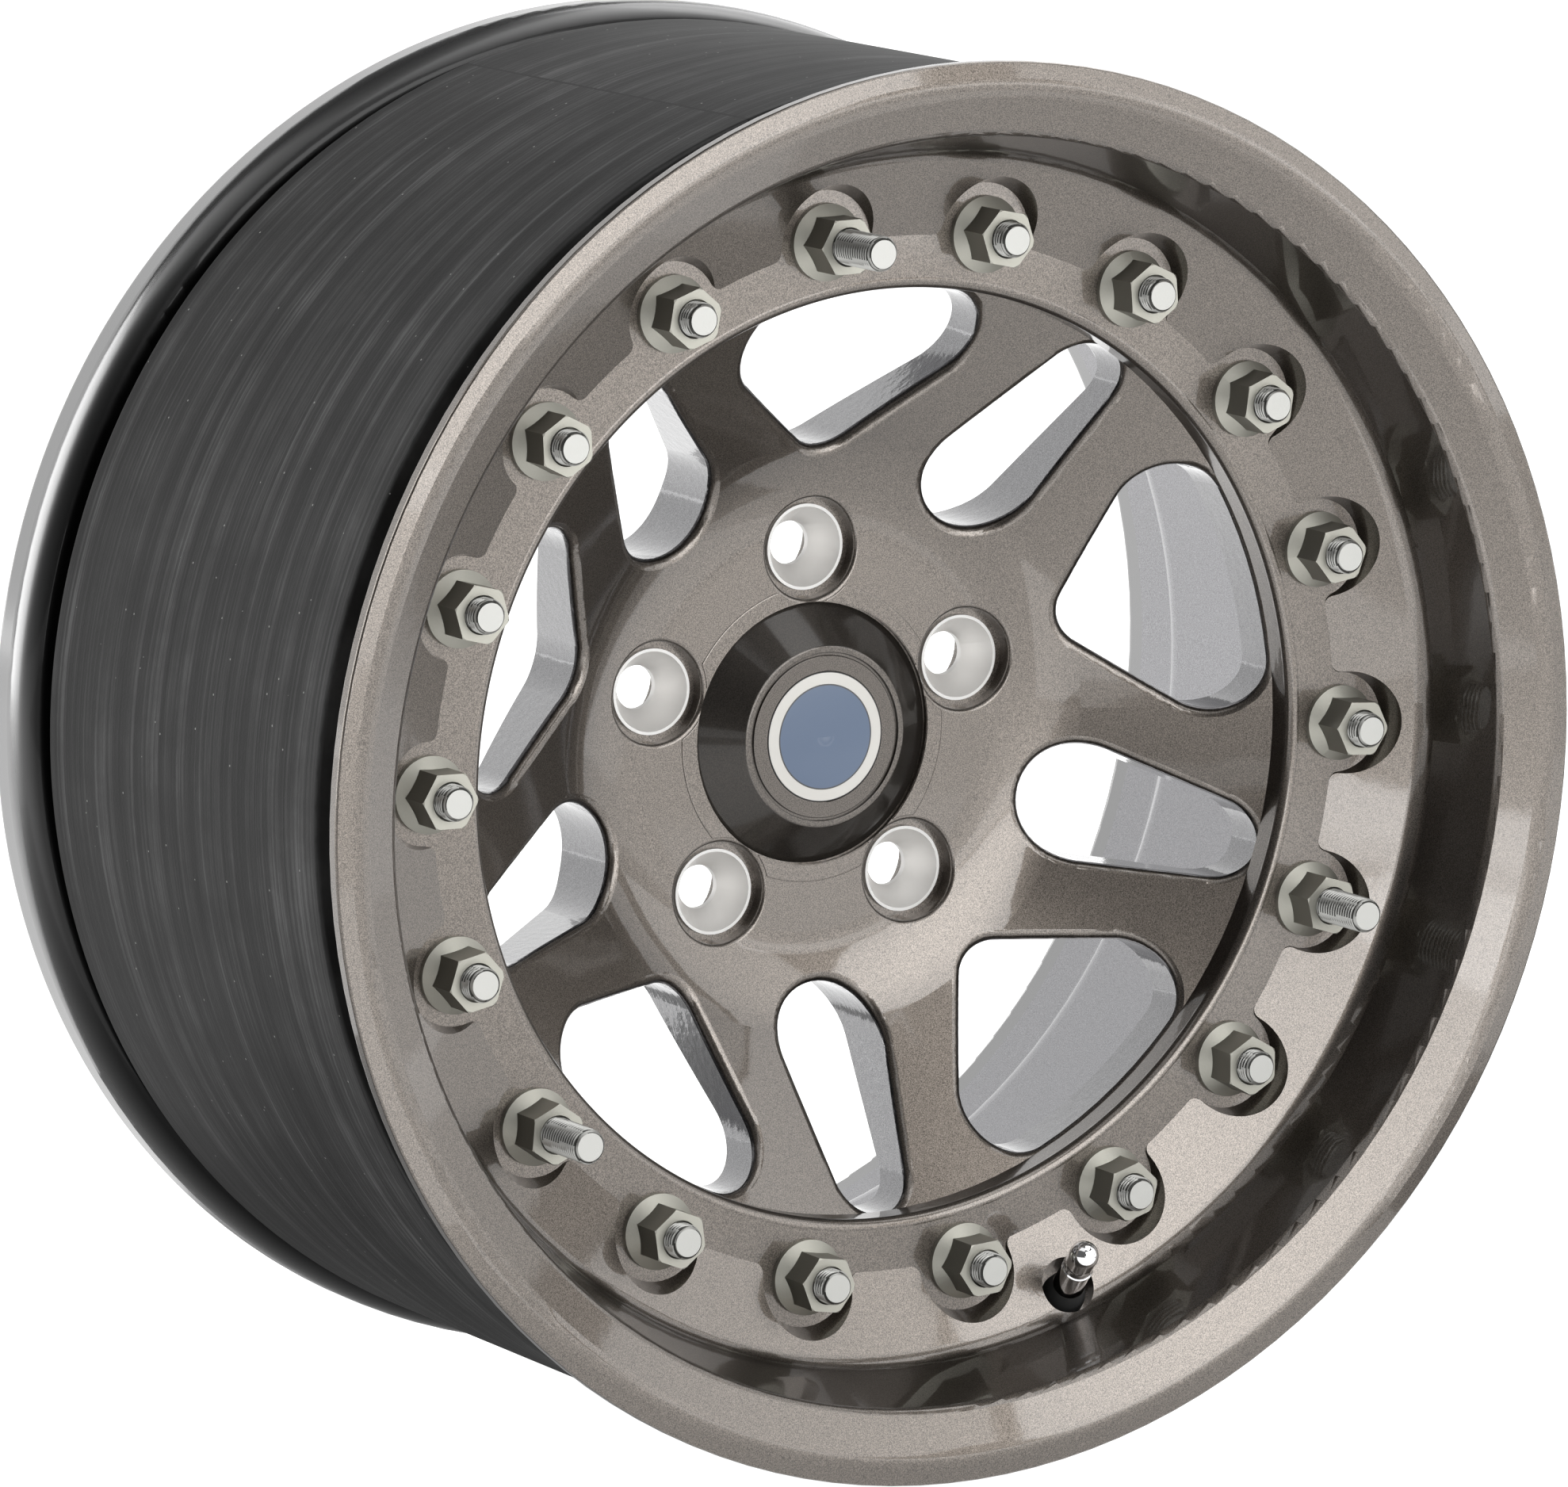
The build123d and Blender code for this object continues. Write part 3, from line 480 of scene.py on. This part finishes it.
def hub_step(inner_radius, outer_radius, base, rise, lug_circle, lug_clear, columns=97):
    """The low step on the hub face round the centre cap, in five pieces that stop short of the lug holes."""
    lug_count, lug_step, first_lug, gap = 5, 72.0, 90.0, 7.4
    sunk, flat_end, bevel, bevel_foot, bevel_share = 0.0001, 0.00048, 0.0004, 0.00012, 0.7
    vertices, faces = [], []
    for lug in range(lug_count):
        first = len(vertices)
        for k in range(columns):
            swing = radians(gap + (lug_step - 2 * gap) * k / (columns - 1))
            near = min(swing, radians(lug_step) - swing)
            across = max(lug_clear**2 - (lug_circle * sin(near)) ** 2, 0.0)
            edge = lug_circle * cos(near) - across**0.5 if across else outer_radius
            outer = min(outer_radius, edge)
            around = radians(first_lug + lug_step * lug) + swing
            section = (
                (inner_radius, base - sunk),
                (inner_radius, base + rise),
                (outer - flat_end, base + rise),
                (outer - bevel, base + rise),
                (outer - bevel_foot, base + bevel_share * rise),
                (outer, base - sunk),
            )
            rows = len(section)
            for radius, height in section:
                vertices.append((radius * cos(around), -height, radius * sin(around)))
        for k in range(columns - 1):
            a = first + rows * k
            faces += [(a + row, a + row + 1, a + row + rows + 1, a + row + rows) for row in range(rows - 1)]
            faces.append((a, a + rows, a + 2 * rows - 1, a + rows - 1))
        last = first + rows * (columns - 1)
        faces.append(tuple(first + row for row in reversed(range(rows))))
        faces.append(tuple(last + row for row in range(rows)))
    painted("hub_step", vertices, faces, inner_paint)


def ring_edge(centre_radius, centre_height, bend, turns=720, steps=14):
    """The clamp ring's rounded inner edge, from front face to bore wall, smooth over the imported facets."""
    start, sweep = -13.0, 116.0
    rows = steps + 1
    vertices, faces = [], []
    for k in range(turns):
        around = 2 * pi * k / turns
        for row in range(rows):
            lean = radians(start + sweep * row / steps)
            radius = centre_radius - bend * sin(lean)
            height = centre_height + bend * cos(lean)
            vertices.append((radius * cos(around), -height, radius * sin(around)))
    for k in range(turns):
        here, there = k * rows, (k + 1) % turns * rows
        for row in range(rows):
            after = (row + 1) % rows
            faces.append((here + row, there + row, there + after, here + after))
    painted("clamp_ring_edge", vertices, faces, paint)


hub_step(
    inner_radius=0.0454, outer_radius=0.0512, base=0.0322, rise=0.0004, lug_circle=0.0635, lug_clear=0.0191
)
ring_edge(centre_radius=0.1608, centre_height=0.0832, bend=0.00308)


# Studio: floor, backdrop, soft panels and cards on the floor

white = (1.0, 1.0, 1.0, 1.0)
floor_gap, card_lift = 0.0005, 0.0002
floor_level = cad_box[0].z - floor_gap
floor_size, backdrop_radius, backdrop_height = 60.0, 28.0, 16.0


def glow_on(piece, name, emission, **sockets):
    """Names a piece of the studio and gives it a matt material that also shines."""
    piece.name = name
    material = new_material(name, Emission_Color=white, Emission_Strength=emission, **sockets)[0]
    piece.data.materials.append(material)


bpy.ops.mesh.primitive_plane_add(size=floor_size, location=(0.0, 0.0, floor_level))
floor = bpy.context.object
glow_on(floor, "studio_floor", 1.0, Base_Color=(*grey(0.30), 1.0), Roughness=0.9)

bpy.ops.mesh.primitive_cylinder_add(
    vertices=96,
    radius=backdrop_radius,
    depth=backdrop_height,
    end_fill_type="NOTHING",
    location=(0.0, 0.0, floor_level + backdrop_height / 2),
)
backdrop = bpy.context.object
glow_on(backdrop, "studio_backdrop", 1.2, Roughness=0.9)
backdrop.visible_diffuse = False
backdrop.visible_glossy = False
backdrop.visible_transmission = False
backdrop.visible_shadow = False

world = bpy.data.worlds.new("studio")
bpy.context.scene.world = world
world.use_nodes = True
background = world.node_tree.nodes["Background"]
background.inputs["Color"].default_value = white
background.inputs["Strength"].default_value = 0.12


def panel(name, azimuth, elevation, spread, radiance, distance=3.0):
    """A soft light that faces the wheel, of a spread in degrees; azimuth 0 is in front of the wheel."""
    a, e = radians(azimuth), radians(elevation)
    light = bpy.data.lights.new(name, "AREA")
    light.shape = "RECTANGLE"
    light.size, light.size_y = (2 * distance * tan(radians(angle / 2)) for angle in spread)
    light.energy = radiance * pi * light.size * light.size_y
    lamp = link(name, light)
    lamp.location = distance * Vector((sin(a) * cos(e), -cos(a) * cos(e), sin(e)))
    lamp.rotation_euler = lamp.location.to_track_quat("Z", "Y").to_euler()
    lamp.visible_camera = False


panel("key", 10.0, 19.0, (36.0, 38.0), 4.7)
panel("key_low", 14.0, -4.0, (50.0, 8.0), 2.2)
panel("key_core", -10.0, -2.0, (16.0, 14.0), 3.2, 2.95)
panel("right", 44.0, 17.0, (24.0, 36.0), 2.4)
panel("far_right", 75.0, 12.0, (30.0, 64.0), 1.4)
panel("top_right", 60.0, 62.0, (60.0, 28.0), 2.5)
panel("top_left", -60.0, 62.0, (60.0, 28.0), 1.0)
panel("left", -110.0, 14.0, (40.0, 60.0), 4.6)
panel("right_rear", 112.0, 40.0, (40.0, 40.0), 2.5)
panel("rear", 180.0, 18.0, (90.0, 44.0), 1.1, 4.0)


def floor_card(name, corner, size, emission):
    """A matt card on the floor, unseen by the camera, that lifts or holds back the light from below."""
    (x, y), (width, depth) = corner, size
    bpy.ops.mesh.primitive_plane_add(
        size=1.0, location=(x + width / 2, y + depth / 2, floor_level + card_lift)
    )
    card = bpy.context.object
    card.scale = (width, depth, 1.0)
    card.visible_camera = False
    glow_on(card, name, emission, Base_Color=(*grey(0.05), 1.0), Roughness=1.0)


floor_card("flag_right", (0.30, -0.36), (1.2, 0.76), 0.34)
floor_card("flag_front", (-1.7, -3.2), (1.35, 2.15), 0.35)
floor_card("bounce_left", (-0.35, -1.2), (0.37, 0.78), 2.6)
floor_card("bounce_right", (0.40, -1.0), (0.70, 0.62), 2.0)
floor_card("shade_left", (-0.90, -0.12), (0.85, 0.37), 0.30)


# Camera, found by fitting the wheel's circles to the photograph

wheel_turn, azimuth, elevation, roll = (radians(v) for v in (-0.928, -30.151, 10.842, -1.408))
distance, shift_right, shift_up, aim_height = 3.521665, -0.009675, -0.003531, 0.0322

turn = Matrix.Rotation(wheel_turn, 3, "Y")
back = Vector((sin(azimuth) * cos(elevation), -cos(azimuth) * cos(elevation), sin(elevation)))
level = Vector((cos(azimuth), sin(azimuth), 0.0))
rise = back.cross(level)
right = turn @ (cos(roll) * level + sin(roll) * rise)
up = turn @ (cos(roll) * rise - sin(roll) * level)
back = turn @ back
camera_data = bpy.data.cameras.new("camera")
camera_data.sensor_width = 36.0
camera_data.sensor_fit = "HORIZONTAL"
camera_data.lens = 238.52
camera_data.clip_end = 200.0
camera = link("camera", camera_data)
camera_place = distance * back + shift_right * right + shift_up * up + Vector((0.0, -aim_height, 0.0))
camera.matrix_world = Matrix.Translation(camera_place) @ Matrix((right, up, back)).transposed().to_4x4()
bpy.context.scene.camera = camera
bpy.context.scene.view_settings.view_transform = "Standard"
